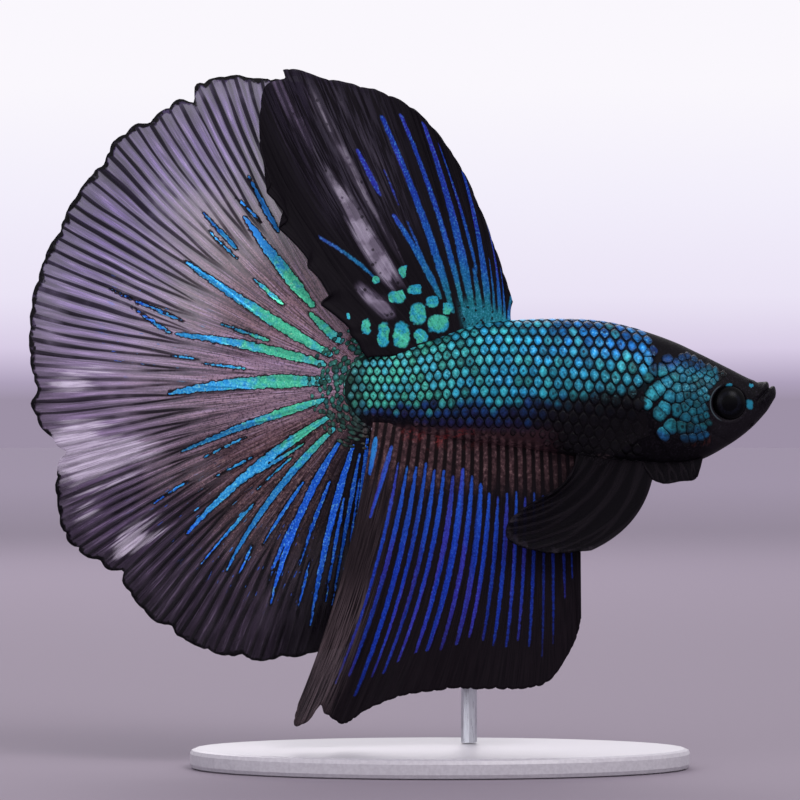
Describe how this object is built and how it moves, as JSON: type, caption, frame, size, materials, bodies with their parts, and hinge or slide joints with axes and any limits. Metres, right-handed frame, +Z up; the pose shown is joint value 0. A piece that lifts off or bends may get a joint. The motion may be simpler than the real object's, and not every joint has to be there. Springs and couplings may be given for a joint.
{
  "type": "betta fish model",
  "caption": "Life-size still model of a male halfmoon betta with flared fins, held over a small oval base by one thin rod.",
  "frame": {"origin": "middle of the underside of the stand's base", "axes": "+X towards the fish's snout, +Y towards its left side, +Z up"},
  "size_m": [0.0749, 0.029, 0.0699],
  "materials": {
    "scales": "iridescent turquoise and blue scales with black rims",
    "skin": "smooth moist black skin",
    "eye": "glossy black",
    "tail_fin": "thin lilac-grey membrane with dark rays and turquoise and blue streaks",
    "blue_fins": "black membrane with royal blue rays",
    "dark_fins": "black membrane, slightly see-through",
    "stand_base": "satin pale grey",
    "stand_rod": "fine brushed"
  },
  "bodies": {
    "root": {"head": "skin", "lower_jaw": "skin", "gill_cover_left": "scales", "gill_cover_right": "scales", "gill_membrane_left": "skin", "gill_membrane_right": "skin", "eye_left": "eye", "eye_right": "eye", "trunk": "scales", "tail_stalk": "scales", "dorsal_fin": "blue_fins", "anal_fin": "blue_fins", "tail_fin": "tail_fin", "pectoral_fin_left": "dark_fins", "pectoral_fin_right": "dark_fins", "pelvic_fin_left": "dark_fins", "pelvic_fin_right": "dark_fins", "stand_base": "stand_base", "stand_rod": "stand_rod"}
  },
  "joints": []
}
